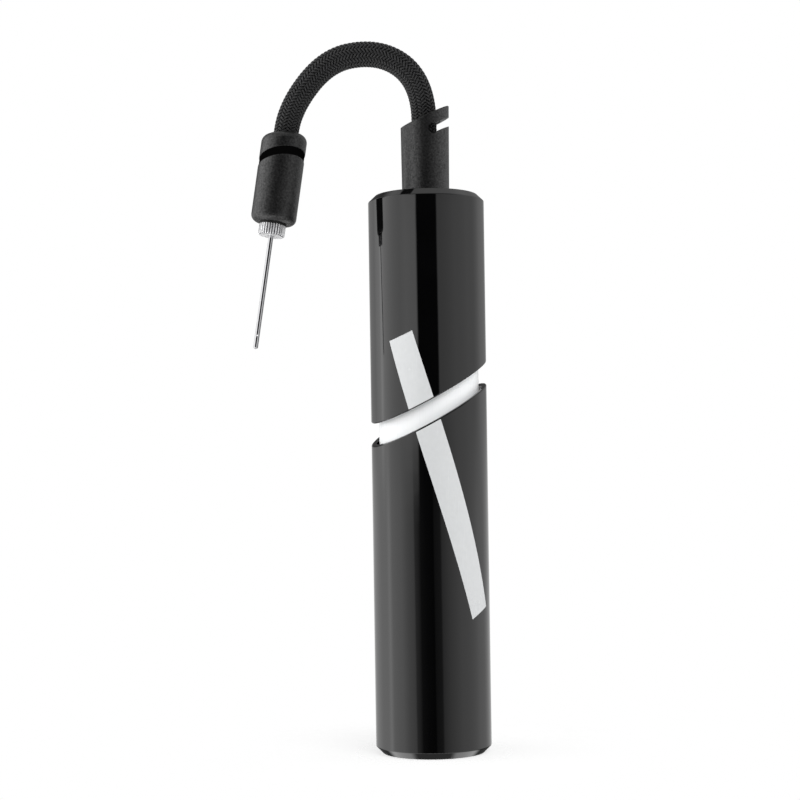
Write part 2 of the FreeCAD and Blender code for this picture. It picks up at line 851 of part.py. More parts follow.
def needle_tube():
    """Thin tube with a closed tip, an eye through its side and a thicker root in the hub."""
    body = turned("needle_tube", [
        ("0", "0"),
        ("needle_d", "0"),
        ("needle_d", "needle_reach"),
        ("needle_root_d", "needle_reach"),
        ("needle_root_d", f"{hub_top} + stem_length"),
        ("needle_bore_d", f"{hub_top} + stem_length"),
        ("needle_bore_d", "needle_tip_wall"),
        ("0", "needle_tip_wall"),
    ])
    round_edges(body, "needle_tip", "needle_tip_round", is_ring("needle_d", "0"))
    eye = circle_sketch(body, "eye_outline", ("0", "needle_eye"), "needle_eye_d", role="XZ_Plane")
    pocket(body, eye, "needle_eye_cut")
    return body


def nozzle_placement():
    """The nozzle frame's place in the pump frame."""
    lean = math.tan(math.radians(value("nozzle_lean")))
    forward = math.tan(math.radians(value("nozzle_forward")))
    axis = Vector(lean, forward, 1).normalize()
    entry = Vector(value("nozzle_x"), value("nozzle_y"), value("nozzle_z"))
    return Placement(entry - axis * value(nozzle_top), Rotation(Vector(0, 0, 1), axis))


# ---------------------------------------------------------------- hose

def rounded_route(route):
    """Straight runs joined by tangent arcs, as one wire, and the arcs' radii."""
    points = [Vector(*point) for point in route]
    edges = []
    radii = []
    start = points[0]
    for before, corner, after in zip(points, points[1:], points[2:]):
        inward = (before - corner).normalize()
        outward = (after - corner).normalize()
        trim = BEND_SHARE * min((before - corner).Length, (after - corner).Length)
        half_turn = (math.pi - inward.getAngle(outward)) / 2
        radius = trim / math.tan(half_turn)
        centre_way = (inward + outward).normalize()
        middle = corner + centre_way * (radius / math.cos(half_turn) - radius)
        arc_start = corner + inward * trim
        arc_end = corner + outward * trim
        edges.append(Part.LineSegment(start, arc_start).toShape())
        edges.append(Part.Arc(arc_start, middle, arc_end).toShape())
        radii.append(radius)
        start = arc_end
    edges.append(Part.LineSegment(start, points[-1]).toShape())
    return Part.Wire(edges), radii


def pipe(wire, diameter):
    """Solid rod of this diameter along a wire."""
    first = wire.Edges[0]
    along = first.tangentAt(first.FirstParameter)
    circle = Part.Circle(first.Vertexes[0].Point, along, diameter / 2)
    section = Part.Wire([circle.toShape()])
    return wire.makePipeShell([section], True, False)


def hose():
    """The braided hose, as a plain tube along its route."""
    wire, radii = rounded_route(HOSE_ROUTE)
    print("hose bend radii", [round(radius, 1) for radius in radii])
    print("hose length", round(wire.Length, 2))
    outer = pipe(wire, value("hose_d"))
    tube = outer.cut(pipe(wire, value("hose_bore_d")))
    section = math.pi / 4 * (value("hose_d") ** 2 - value("hose_bore_d") ** 2)
    print("hose volume over section times length", round(tube.Volume / (section * wire.Length), 4))
    feature = doc.addObject("Part::Feature", "hose")
    feature.Shape = tube
    SUBPARTS.append(feature)


# ---------------------------------------------------------------- assembly

upper_sleeve()
lower_sleeve()
bottom_cap()
barrel()
barrel_collar()
head_plug()
head_seal()
valve_seat()
valve_disc()
valve_spring()
hose_barb()
ferrule("hose_ferrule", "hose_foot")
hose_guide()
cap_screw("rod_screw", "screw_recess", downwards=True)
piston_rod()
piston()
piston_seal()
piston_guide_ring()
cap_screw("piston_screw", screw_seat, downwards=False)
rod_gland()
gland_bumper()
hose()

at_nozzle = nozzle_placement()
for make in (nozzle_body, nozzle_cap, nozzle_socket, nozzle_barb, nozzle_gasket,
             needle_hub, needle_tube):
    make().Placement = at_nozzle
ferrule("nozzle_ferrule", hose_end).Placement = at_nozzle

doc.recompute()
print("nozzle frame", at_nozzle)

for item in doc.Objects:
    if "Invalid" in item.State or "Error" in item.State:
        raise RuntimeError(f"{item.Label} did not build: {item.State}")
for item in SUBPARTS:
    if item.Shape.isNull() or not item.Shape.isValid():
        raise RuntimeError(f"{item.Label} has no valid shape")

os.makedirs("parts", exist_ok=True)
for item in SUBPARTS:
    item.Shape.exportStep(os.path.join("parts", f"{item.Label}.step"))
print(len(SUBPARTS), "sub-parts written")
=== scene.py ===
import json
import math

import bpy
from mathutils import Matrix, Vector


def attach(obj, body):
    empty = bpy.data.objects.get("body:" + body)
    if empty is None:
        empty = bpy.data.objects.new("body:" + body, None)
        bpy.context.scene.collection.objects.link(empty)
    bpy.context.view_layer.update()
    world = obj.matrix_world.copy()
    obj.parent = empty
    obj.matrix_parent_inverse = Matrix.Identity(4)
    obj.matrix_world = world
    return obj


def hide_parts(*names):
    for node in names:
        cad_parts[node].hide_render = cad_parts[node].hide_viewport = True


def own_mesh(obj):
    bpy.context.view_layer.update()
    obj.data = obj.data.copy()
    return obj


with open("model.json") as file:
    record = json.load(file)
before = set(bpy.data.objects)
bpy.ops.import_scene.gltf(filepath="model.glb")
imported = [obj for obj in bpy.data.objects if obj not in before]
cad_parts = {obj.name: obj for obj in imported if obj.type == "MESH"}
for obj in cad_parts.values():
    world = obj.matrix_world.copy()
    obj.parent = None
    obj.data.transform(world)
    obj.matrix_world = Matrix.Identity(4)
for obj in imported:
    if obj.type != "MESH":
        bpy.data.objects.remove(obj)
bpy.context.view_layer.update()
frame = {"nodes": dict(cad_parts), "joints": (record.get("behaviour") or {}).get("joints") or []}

# Ball inflation pump: looks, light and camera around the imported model.
# Lengths are in metres, unless a name ends in _MM. The camera looks along +Y.

MM = 0.001
NODES = frame["nodes"]
JOINTS = {joint["name"]: joint for joint in frame["joints"]}
scene = bpy.context.scene


# ---------------------------------------------------------------- camera

EYE = Vector((-0.0088, -0.500, 0.0813))
LENS_MM = 76.48
SENSOR_MM = 36.0
SHIFT_UP = 0.094  # in picture widths
ROLL = math.radians(0.86)
NEAREST = 10 * MM


def add_camera():
    """Level camera in front of the pump, rolled a little; the shift frames the hose above."""
    lens = bpy.data.cameras.new("camera")
    lens.sensor_width = SENSOR_MM
    lens.lens = LENS_MM
    lens.shift_y = SHIFT_UP
    lens.clip_start = NEAREST
    camera = bpy.data.objects.new("camera", lens)
    turn = Matrix.Rotation(ROLL, 4, "Y") @ Matrix.Rotation(math.pi / 2, 4, "X")
    camera.matrix_world = Matrix.Translation(EYE) @ turn
    scene.collection.objects.link(camera)
    scene.camera = camera


# ---------------------------------------------------------------- hose

# The same route as in the CAD model. Here its points are the control points of a smooth line.
HOSE_ROUTE_MM = [
    (0.0, 0.0, 169.0),
    (-0.1, 0.0, 179.0),
    (-0.3, 0.0, 192.8),
    (-5.4, 0.1, 201.9),
    (-15.4, 0.3, 206.1),
    (-28.6, 0.6, 203.7),
    (-39.3, 0.6, 190.4),
    (-41.7, -0.3, 177.5),
    (-43.03, -0.92, 168.58),
]
ROUTE_RESOLUTION = 64

# The rubber tube inside the braid.
CORE_D = 5.9 * MM
CORE_BORE_D = 5.0 * MM
CORE_SIDES = 32

# The braid. This many yarns wind each way, over two others and under two.
CARRIERS = 16
BRAID_PITCH = 16.8 * MM
BRAID_RADIUS = 3.34 * MM
BRAID_WAVE = 0.22 * MM
YARN_WIDTH = 0.64 * MM
YARN_THICKNESS = 0.32 * MM
# The yarns have a point at each step along the hose. The rubber tube takes every so many of these
# points.
BRAID_STEP = 0.2 * MM
CORE_EVERY = 3
# A yarn's outline, as pairs: sideways in widths, and outwards in thicknesses.
YARN_OUTLINE = [(-0.5, -0.15), (-0.36, 0.36), (0.0, 0.5), (0.36, 0.36), (0.5, -0.15), (0.0, -0.5)]

# Material slots of the hose.
YARN_SLOT = 0
RUBBER_SLOT = 1


def smooth_line(name, controls):
    """Points along the smooth spline that has these control points."""
    curve = bpy.data.curves.new(name, "CURVE")
    curve.dimensions = "3D"
    curve.resolution_u = ROUTE_RESOLUTION
    spline = curve.splines.new("NURBS")
    spline.points.add(len(controls) - 1)
    for control, place in zip(spline.points, controls):
        control.co = (*place, 1.0)
    spline.order_u = 3
    spline.use_endpoint_u = True
    holder = bpy.data.objects.new(name, curve)
    scene.collection.objects.link(holder)
    bpy.context.view_layer.update()
    seen = holder.evaluated_get(bpy.context.evaluated_depsgraph_get())
    mesh = bpy.data.meshes.new_from_object(seen)
    line = [vertex.co.copy() for vertex in mesh.vertices]
    bpy.data.objects.remove(holder)
    bpy.data.meshes.remove(mesh)
    return line


def evenly_spaced(line, step):
    """The same line with points about one step apart, and its length."""
    travelled = [0.0]
    for a, b in zip(line, line[1:]):
        travelled.append(travelled[-1] + (b - a).length)
    count = max(2, round(travelled[-1] / step))
    points = []
    i = 0
    for k in range(count + 1):
        goal = travelled[-1] * k / count
        while i < len(line) - 2 and travelled[i + 1] < goal:
            i += 1
        span = travelled[i + 1] - travelled[i]
        share = (goal - travelled[i]) / span if span else 0.0
        points.append(line[i].lerp(line[i + 1], min(1.0, share)))
    return points, travelled[-1]


def directions_across(points):
    """At each point of a line, two directions across it that turn with it and don't twist."""
    directions = []
    side = Vector((0, 1, 0))
    last = len(points) - 1
    for i in range(len(points)):
        tangent = (points[min(i + 1, last)] - points[max(i - 1, 0)]).normalized()
        side = (side - tangent * side.dot(tangent)).normalized()
        directions.append((side, tangent.cross(side)))
    return directions


def thinned(items, every):
    """Every so many of the items, and the last one."""
    return items[::every] + [items[-1]]


def add_face(mesh, slot, corners, uvs=None):
    """One face; its UVs are zero where no material reads them."""
    mesh["faces"].append(corners)
    mesh["uvs"].append(uvs or [(0.0, 0.0)] * len(corners))
    mesh["slots"].append(slot)


def over_and_under(phase):
    """Smooth height, from -1 to 1, of a yarn that goes over two others and then under two."""
    return max(-1.0, min(1.0, math.sqrt(2) * math.cos(math.pi * (phase - 0.5) / 2)))


def yarn_line(points, directions, length, carrier, hand):
    """Centres of one yarn, each with its outward direction; hand is 1 or -1, as it winds."""
    rate = 2 * math.pi / BRAID_PITCH
    line = []
    for i, (point, (side, up)) in enumerate(zip(points, directions)):
        along = length * i / (len(points) - 1)
        angle = 2 * math.pi * carrier / CARRIERS + hand * rate * along
        crossings = CARRIERS * rate * along / math.pi
        radius = BRAID_RADIUS + hand * BRAID_WAVE * over_and_under(2 * carrier + hand * crossings)
        outward = side * math.cos(angle) + up * math.sin(angle)
        line.append((point + outward * radius, outward))
    return line


def add_yarn(mesh, line, length):
    """A flat strand along this line, closed at both ends."""
    first = len(mesh["verts"])
    last = len(line) - 1
    for i, (centre, outward) in enumerate(line):
        tangent = (line[min(i + 1, last)][0] - line[max(i - 1, 0)][0]).normalized()
        across = tangent.cross(outward).normalized()
        for sideways, out in YARN_OUTLINE:
            place = centre + across * sideways * YARN_WIDTH + outward * out * YARN_THICKNESS
            mesh["verts"].append(place)
    sides = len(YARN_OUTLINE)
    for i in range(last):
        ring = first + i * sides
        along = length * i / last / YARN_WIDTH
        ahead = length * (i + 1) / last / YARN_WIDTH
        for k in range(sides):
            beside = (k + 1) % sides
            add_face(mesh, YARN_SLOT,
                     (ring + k, ring + beside, ring + sides + beside, ring + sides + k),
                     [(along, k / sides), (along, (k + 1) / sides),
                      (ahead, (k + 1) / sides), (ahead, k / sides)])
    for start, turn in ((first, -1), (first + last * sides, 1)):
        add_face(mesh, YARN_SLOT, tuple(start + k for k in range(sides))[::turn])


def add_core(mesh, points, directions):
    """The rubber tube inside the braid, closed at both ends."""
    first = len(mesh["verts"])
    for point, (side, up) in zip(points, directions):
        for diameter in (CORE_D, CORE_BORE_D):
            for k in range(CORE_SIDES):
                angle = 2 * math.pi * k / CORE_SIDES
                around = side * math.cos(angle) + up * math.sin(angle)
                mesh["verts"].append(point + around * diameter / 2)

    def corner(i, inner, k):
        return first + (2 * i + inner) * CORE_SIDES + k % CORE_SIDES

    def add(*corners):
        add_face(mesh, RUBBER_SLOT, corners)

    last = len(points) - 1
    for k in range(CORE_SIDES):
        for i in range(last):
            add(corner(i, 0, k), corner(i, 0, k + 1), corner(i + 1, 0, k + 1), corner(i + 1, 0, k))
            add(corner(i, 1, k), corner(i + 1, 1, k), corner(i + 1, 1, k + 1), corner(i, 1, k + 1))
        add(corner(0, 0, k), corner(0, 1, k), corner(0, 1, k + 1), corner(0, 0, k + 1))
        add(corner(last, 0, k), corner(last, 0, k + 1), corner(last, 1, k + 1), corner(last, 1, k))


def new_piece(name, mesh, materials):
    """A mesh object from lists of corners, faces, UVs and material slots."""
    data = bpy.data.meshes.new(name)
    data.from_pydata(mesh["verts"], [], mesh["faces"])
    uv_layer = data.uv_layers.new(name="UVMap")
    flat = [number for face in mesh["uvs"] for pair in face for number in pair]
    uv_layer.data.foreach_set("uv", flat)
    for material in materials:
        data.materials.append(material)
    data.polygons.foreach_set("material_index", mesh["slots"])
    data.polygons.foreach_set("use_smooth", [True] * len(data.polygons))
    data.update()
    piece = bpy.data.objects.new(name, data)
    scene.collection.objects.link(piece)
    return piece


def add_hose():
    """Braided hose from the barb in the hose guide to the barb in the nozzle."""
    route = smooth_line("hose_route", [Vector(point) * MM for point in HOSE_ROUTE_MM])
    points, length = evenly_spaced(route, BRAID_STEP)
    directions = directions_across(points)
    mesh = {"verts": [], "faces": [], "uvs": [], "slots": []}
    for carrier in range(CARRIERS):
        for hand in (1, -1):
            add_yarn(mesh, yarn_line(points, directions, length, carrier, hand), length)
    add_core(mesh, thinned(points, CORE_EVERY), thinned(directions, CORE_EVERY))
    hose = new_piece("braided_hose", mesh, [hose_yarn(), hose_rubber()])
    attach(hose, "pump_head")
    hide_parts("hose")


# ---------------------------------------------------------------- nodes

# A Mix node has a set of sockets for each kind of data. These are the colour ones.
MIX_FIRST = 6
MIX_SECOND = 7
MIX_RESULT = 2

# Most of a noise texture's values lie between these.
NOISE_LOW = 0.3
NOISE_HIGH = 0.7


class Nodes:
    """Short calls for the nodes used in the materials and in the room's light."""

    def __init__(self, tree):
        self.tree = tree

    def first(self, kind):
        """The first node of this type."""
        return next(node for node in self.tree.nodes if node.type == kind)

    def node(self, kind, **settings):
        """A new node with these settings."""
        made = self.tree.nodes.new(kind)
        for name, value in settings.items():
            setattr(made, name, value)
        return made

    def feed(self, socket, source):
        """Link the socket to another one, or set its value."""
        if isinstance(source, bpy.types.NodeSocket):
            self.tree.links.new(source, socket)
        else:
            socket.default_value = source

    def maths(self, operation, first, second=0.0, third=0.0):
        """The result of one sum on numbers or sockets."""
        made = self.node("ShaderNodeMath", operation=operation)
        for socket, source in zip(made.inputs, (first, second, third)):
            self.feed(socket, source)
        return made.outputs[0]

    def vector_maths(self, operation, first, second=(0.0, 0.0, 0.0)):
        """The result of one sum on vectors: a number for a length or a dot product."""
        made = self.node("ShaderNodeVectorMath", operation=operation)
        self.feed(made.inputs[0], first)
        self.feed(made.inputs[1], second)
        return made.outputs["Value" if operation in ("LENGTH", "DOT_PRODUCT") else "Vector"]

    def coordinates(self, vector):
        """The X, Y and Z of a vector."""
        parts = self.node("ShaderNodeSeparateXYZ")
        self.feed(parts.inputs[0], vector)
        return parts.outputs

    def spread(self, source, low, high, start=NOISE_LOW, end=NOISE_HIGH, smooth=False):
        """Map a value from between start and end to between low and high."""
        made = self.node("ShaderNodeMapRange")
        if smooth:
            made.interpolation_type = "SMOOTHSTEP"
        for socket, value in zip(made.inputs, (source, start, end, low, high)):
            self.feed(socket, value)
        return made.outputs[0]

    def mix(self, share, first, second):
        """The first colour where share is 0, and the second where it is 1."""
        made = self.node("ShaderNodeMix", data_type="RGBA")
        self.feed(made.inputs["Factor"], share)
        for number, source in ((MIX_FIRST, first), (MIX_SECOND, second)):
            linked = isinstance(source, bpy.types.NodeSocket)
            self.feed(made.inputs[number], source if linked else (*source, 1.0))
        return made.outputs[MIX_RESULT]


class Shader(Nodes):
    """A material with one Principled surface."""

    def __init__(self, name, **sockets):
        self.material = bpy.data.materials.new(name)
        self.material.use_nodes = True
        super().__init__(self.material.node_tree)
        self.surface = self.first("BSDF_PRINCIPLED")
        self.place = self.node("ShaderNodeTexCoord").outputs["Object"]
        for socket, value in sockets.items():
            self.surface.inputs[socket.replace("_", " ")].default_value = value

    def noise(self, scale=1.0, detail=3.0, roughness=0.55, stretch=None):
        """Noise with this many features per metre, multiplied by stretch along X, Y and Z."""
        made = self.node("ShaderNodeTexNoise")
        place = self.place
        if stretch:
            mapping = self.node("ShaderNodeMapping")
            mapping.inputs["Scale"].default_value = stretch
            self.feed(mapping.inputs["Vector"], place)
            place = mapping.outputs[0]
        self.feed(made.inputs["Vector"], place)
        made.inputs["Scale"].default_value = scale
        made.inputs["Detail"].default_value = detail
        made.inputs["Roughness"].default_value = roughness
        return made.outputs["Fac"]

    def colour(self, source):
        self.feed(self.surface.inputs["Base Color"], source)

    def roughness(self, source):
        self.feed(self.surface.inputs["Roughness"], source)

    def specular(self, source):
        self.feed(self.surface.inputs["Specular IOR Level"], source)

    def bump(self, height, depth):
        """Raise the surface by height times depth."""
        made = self.node("ShaderNodeBump")
        made.inputs["Distance"].default_value = depth
        self.feed(made.inputs["Height"], height)
        self.feed(self.surface.inputs["Normal"], made.outputs[0])


# ---------------------------------------------------------------- values for several materials

# Pairs of colours are the darkest and the lightest, and pairs of roughness the smoothest and the
# roughest. The MOTTLE, GLOSS and GRAIN values are noise scales, in features per metre.
PLASTIC_IOR = 1.5
METAL_MOTTLE = 300.0

# How the fine lines of a metal stretch along X, Y and Z.
TURNED = (60, 60, 9000)
DRAWN = (9000, 9000, 60)


# ---------------------------------------------------------------- grips and barrel

# The slant of the grips' rims: how far they rise along X and along Y.
RIM_SLOPE_X = 0.523
RIM_SLOPE_Y = 0.185
# Corners this close to a grip's largest radius are on its outside.
SKIN_DEPTH = 0.05 * MM

# One plain band winds round both grips. Its angles start at the camera's side, towards +X.
BAND_TOP = 128 * MM
BAND_FOOT = 36 * MM
BAND_TOP_ANGLE = math.radians(-36)
BAND_FOOT_ANGLE = math.radians(60)
BAND_HALF_ANGLE = math.radians(14)
BAND_RIM_MARGIN = 0.4 * MM
BAND_ROUGHNESS = 0.22

BAND_WHITE = ((0.50, 0.51, 0.515), (0.56, 0.57, 0.575))
BAND_MOTTLE = 700.0

GRIP_BLACK = ((0.0008, 0.0008, 0.0009), (0.0018, 0.0018, 0.0019))
GRIP_MOTTLE = 90.0
GRIP_WAVES = 160.0
GRIP_WAVE_DEPTH = 0.012 * MM
SMUDGES = 70.0
SMUDGE_ROUGHNESS = (0.03, 0.06)
# Hairline scratches: their stretch, the roughness that they add, and the noise that makes them.
HAIRLINES = (5200, 5200, 130)
HAIRLINE_ROUGHNESS = (0.0, 0.03)
HAIRLINE_NOISE = (0.62, 0.75)

BARREL_IOR = 1.49
BARREL_GLOW = 0.08
BARREL_GLOW_DEPTH = (2.0 * MM, 1.8 * MM, 1.6 * MM)
BARREL_MOTTLE = 140.0
BARREL_BARE = ((0.82, 0.835, 0.845), (0.87, 0.88, 0.885))
# Darker grey, with streaks along the tube, where the lower grip covers the barrel.
BARREL_COVERED_GREY = ((0.50, 0.505, 0.50), (0.62, 0.625, 0.62))
BARREL_ROUGHNESS = (0.24, 0.38)
COVERED_STREAKS = (900, 900, 14)
COVERED_FADE = 5 * MM
DRAW_LINES = (2600, 2600, 40)
DRAW_GLOSS_LINES = (3200, 3200, 60)
DRAW_LINE_DEPTH = 0.01 * MM


def rim_levels():
    """Heights, along the slant, of the lower grip's rim and of the upper grip's rim."""
    levels = []
    for name, outermost in (("lower_sleeve", max), ("upper_sleeve", min)):
        sleeve = NODES[name]
        corners = [sleeve.matrix_world @ vertex.co for vertex in sleeve.data.vertices]
        radius = max(math.hypot(corner.x, corner.y) for corner in corners)
        outer = [corner for corner in corners if math.hypot(corner.x, corner.y) > radius - SKIN_DEPTH]
        levels.append(outermost(corner.z - RIM_SLOPE_X * corner.x - RIM_SLOPE_Y * corner.y
                                for corner in outer))
    return levels


LOWER_RIM, UPPER_RIM = rim_levels()


def slanted_level(shader):
    """How high a point is, measured along the slant of the grips' rims."""
    x, y, z = shader.coordinates(shader.place)
    return shader.maths("MULTIPLY_ADD", x, -RIM_SLOPE_X,
                        shader.maths("MULTIPLY_ADD", y, -RIM_SLOPE_Y, z))


def band_mask(shader):
    """1 inside the band, which stops just short of the grips' slanted rims."""
    x, y, z = shader.coordinates(shader.place)
    angle = shader.maths("ARCTAN2", x, shader.maths("MULTIPLY", y, -1.0))
    turn_per_metre = (BAND_TOP_ANGLE - BAND_FOOT_ANGLE) / (BAND_TOP - BAND_FOOT)
    middle = shader.maths("MULTIPLY_ADD", z, turn_per_metre,
                          BAND_FOOT_ANGLE - turn_per_metre * BAND_FOOT)
    off_middle = shader.maths("ABSOLUTE", shader.maths("SUBTRACT", angle, middle))
    inside = shader.maths("LESS_THAN", off_middle, BAND_HALF_ANGLE)
    level = slanted_level(shader)
    grips = []
    for low, high in ((BAND_FOOT, LOWER_RIM - BAND_RIM_MARGIN), (UPPER_RIM + BAND_RIM_MARGIN, BAND_TOP)):
        half = (high - low) / 2
        off = shader.maths("ABSOLUTE", shader.maths("SUBTRACT", level, low + half))
        grips.append(shader.maths("MULTIPLY", inside, shader.maths("LESS_THAN", off, half)))
    return shader.maths("MAXIMUM", *grips)


def grip_gloss():
    """High gloss black moulding with one plain printed band and faint handling marks."""
    shader = Shader("grip_gloss", IOR=PLASTIC_IOR)
    band = band_mask(shader)
    black = shader.mix(shader.noise(GRIP_MOTTLE), *GRIP_BLACK)
    white = shader.mix(shader.noise(BAND_MOTTLE), *BAND_WHITE)
    shader.colour(shader.mix(band, black, white))
    smudges = shader.spread(shader.noise(SMUDGES, detail=5.0), *SMUDGE_ROUGHNESS)
    hairlines = shader.spread(shader.noise(stretch=HAIRLINES), *HAIRLINE_ROUGHNESS, *HAIRLINE_NOISE)
    handled = shader.maths("ADD", smudges, hairlines)
    shader.roughness(shader.maths("MULTIPLY_ADD", band, BAND_ROUGHNESS, handled))
    shader.bump(shader.noise(GRIP_WAVES, detail=1.0), GRIP_WAVE_DEPTH)
    return shader.material


def barrel_white():
    """Satin white tube with faint draw lines, darker grey where the lower grip covers it."""
    shader = Shader("barrel_white", IOR=BARREL_IOR, Subsurface_Weight=BARREL_GLOW,
                    Subsurface_Radius=BARREL_GLOW_DEPTH)
    bare = shader.mix(shader.noise(BARREL_MOTTLE), *BARREL_BARE)
    # Darker grey with streaks along the tube, faded in below the lower grip's rim.
    covered_grey = shader.mix(shader.noise(stretch=COVERED_STREAKS), *BARREL_COVERED_GREY)
    covered = shader.spread(slanted_level(shader), 1.0, 0.0, LOWER_RIM - COVERED_FADE, LOWER_RIM,
                            smooth=True)
    shader.colour(shader.mix(covered, bare, covered_grey))
    shader.roughness(shader.spread(shader.noise(stretch=DRAW_GLOSS_LINES), *BARREL_ROUGHNESS))
    shader.bump(shader.noise(stretch=DRAW_LINES), DRAW_LINE_DEPTH)
    return shader.material


# ---------------------------------------------------------------- nozzle, guide and needle hub

MOULDING_GRAIN = 1700.0
MOULDING_GRAIN_DEPTH = 0.09 * MM
MOULDING_BLACK = ((0.0005, 0.0005, 0.0006), (0.006, 0.006, 0.0062))
MOULDING_SPECULAR = (0.20, 0.85)
MOULDING_GLOSS = 2600.0
MOULDING_ROUGHNESS = (0.32, 0.46)
# The ring above the nozzle's grip lies within this radius.
RING_RADIUS = 6.58 * MM
# Flat black of the nozzle's ring: painted shade of a deep groove.
RING_PAINTED_SHADE = (0.0015, 0.0015, 0.0015)

PLATE_METALLIC = 0.7
PLATE_BRIGHT = ((0.86, 0.86, 0.87), (0.95, 0.95, 0.96))
PLATE_ROUGHNESS = (0.34, 0.44)
# Dark colour at the bottom of the hub's flutes: painted shade.
FLUTE_PAINTED_SHADE = (0.09, 0.09, 0.10)
# The bottom of the hub's flutes lies between these two radii, and the threaded stem within both.
FLUTE_FLOOR = 3.50 * MM
FLUTE_RADIUS = 3.62 * MM

NOZZLE_AXIS = Vector(JOINTS["needle_unscrew"]["axis"]).normalized()


def point_on_axis(name):
    """Middle of a round node that lies along the nozzle's axis."""
    node = NODES[name]
    corners = [node.matrix_world @ vertex.co for vertex in node.data.vertices]
    side = NOZZLE_AXIS.cross(Vector((0, 1, 0))).normalized()
    middle = Vector((0, 0, 0))
    for direction in (NOZZLE_AXIS, side, NOZZLE_AXIS.cross(side)):
        reach = [corner.dot(direction) for corner in corners]
        middle += direction * (min(reach) + max(reach)) / 2
    return middle


def nozzle_place(shader, name):
    """Distance from the nozzle's axis, and distance towards its tip from a node's middle."""
    from_middle = shader.vector_maths("SUBTRACT", shader.place, point_on_axis(name))
    across = shader.vector_maths("CROSS_PRODUCT", from_middle, NOZZLE_AXIS)
    return (shader.vector_maths("LENGTH", across),
            shader.vector_maths("DOT_PRODUCT", from_middle, NOZZLE_AXIS))


def grained_moulding(name, painted_shade_ring=False):
    """Matt black moulding with a fine grain; on the nozzle's ring, smooth black with no reflection,
    painted shade of a deep groove.
    """
    shader = Shader(name, IOR=PLASTIC_IOR)
    grain = shader.noise(MOULDING_GRAIN, detail=4.0, roughness=0.7)
    colour = shader.mix(grain, *MOULDING_BLACK)
    specular = shader.spread(grain, *MOULDING_SPECULAR)
    shader.roughness(shader.spread(shader.noise(MOULDING_GLOSS), *MOULDING_ROUGHNESS))
    shader.bump(grain, MOULDING_GRAIN_DEPTH)
    if painted_shade_ring:
        off_axis, towards_tip = nozzle_place(shader, "nozzle_body")
        off_ring = shader.maths("MAXIMUM", shader.maths("GREATER_THAN", off_axis, RING_RADIUS),
                                shader.maths("GREATER_THAN", towards_tip, 0.0))
        # On the ring: black, with no reflection and no grain, painted shade of a groove.
        colour = shader.mix(off_ring, RING_PAINTED_SHADE, colour)
        specular = shader.maths("MULTIPLY", off_ring, specular)
        shader.feed(shader.first("BUMP").inputs["Strength"], off_ring)
    shader.colour(colour)
    shader.specular(specular)
    return shader.material


def needle_plate():
    """Bright nickel plate, with painted shade at the bottom of the flutes."""
    shader = Shader("needle_hub_plate", Metallic=PLATE_METALLIC)
    off_axis = nozzle_place(shader, "needle_hub")[0]
    off_flutes = shader.maths("MAXIMUM", shader.maths("GREATER_THAN", off_axis, FLUTE_RADIUS),
                              shader.maths("LESS_THAN", off_axis, FLUTE_FLOOR))
    bright = shader.mix(shader.noise(METAL_MOTTLE), *PLATE_BRIGHT)
    # Painted shade in the flutes, bright plate elsewhere.
    shader.colour(shader.mix(off_flutes, FLUTE_PAINTED_SHADE, bright))
    shader.roughness(shader.spread(shader.noise(detail=4.0, stretch=TURNED), *PLATE_ROUGHNESS))
    return shader.material


# ---------------------------------------------------------------- hose materials

YARN_BLACK = ((0.004, 0.004, 0.0042), (0.016, 0.016, 0.017))
YARN_MOTTLE = 1500.0
YARN_GLOSS = 900.0
YARN_ROUGHNESS = (0.36, 0.50)
# Filaments are the crests of a sine wave: its phase per yarn width along, and once round the yarn.
FILAMENT_TWIST = 2.2
FILAMENT_ROUND = 66.0
FILAMENT_CONTRAST = 0.25
FILAMENT_DEPTH = 0.02 * MM

RUBBER_BLACK = ((0.001, 0.001, 0.001), (0.003, 0.003, 0.003))
RUBBER_MOTTLE = 800.0
RUBBER_GLOSS = 500.0
RUBBER_ROUGHNESS = (0.8, 0.95)


def hose_yarn():
    """Black polyester yarn: fine filaments that run along each strand."""
    shader = Shader("hose_yarn", IOR=PLASTIC_IOR)
    uv = shader.node("ShaderNodeUVMap", uv_map="UVMap").outputs[0]
    along, across = shader.coordinates(uv)[:2]
    phase = shader.maths("MULTIPLY_ADD", along, FILAMENT_TWIST,
                         shader.maths("MULTIPLY", across, FILAMENT_ROUND))
    filament = shader.maths("SINE", phase)
    tone = shader.maths("MULTIPLY_ADD", filament, FILAMENT_CONTRAST,
                        shader.noise(YARN_MOTTLE, detail=4.0))
    shader.colour(shader.mix(tone, *YARN_BLACK))
    shader.roughness(shader.spread(shader.noise(YARN_GLOSS), *YARN_ROUGHNESS))
    shader.bump(filament, FILAMENT_DEPTH)
    return shader.material


def hose_rubber():
    """Dull black rubber of the tube inside the braid."""
    shader = Shader("hose_rubber")
    shader.colour(shader.mix(shader.noise(RUBBER_MOTTLE), *RUBBER_BLACK))
    shader.roughness(shader.spread(shader.noise(RUBBER_GLOSS), *RUBBER_ROUGHNESS))
    return shader.material


# ---------------------------------------------------------------- metals and inner plastics

SOFT_MOTTLE = 220.0
SOFT_GRAIN = 1500.0
SOFT_GRAIN_DEPTH = 0.02 * MM


def metal(name, colours, finish, lines, depth):
    """Polished, drawn or turned metal with lines of this depth."""
    shader = Shader(name, Metallic=1.0)
    shader.colour(shader.mix(shader.noise(METAL_MOTTLE), *colours))
    marks = shader.noise(detail=4.0, stretch=lines)
    shader.roughness(shader.spread(marks, *finish))
    shader.bump(marks, depth)
    return shader.material


def needle_steel():
    """Polished tube."""
    return metal("needle_steel", colours=((0.38, 0.38, 0.39), (0.50, 0.50, 0.51)),
                 finish=(0.06, 0.12), lines=DRAWN, depth=0.002 * MM)


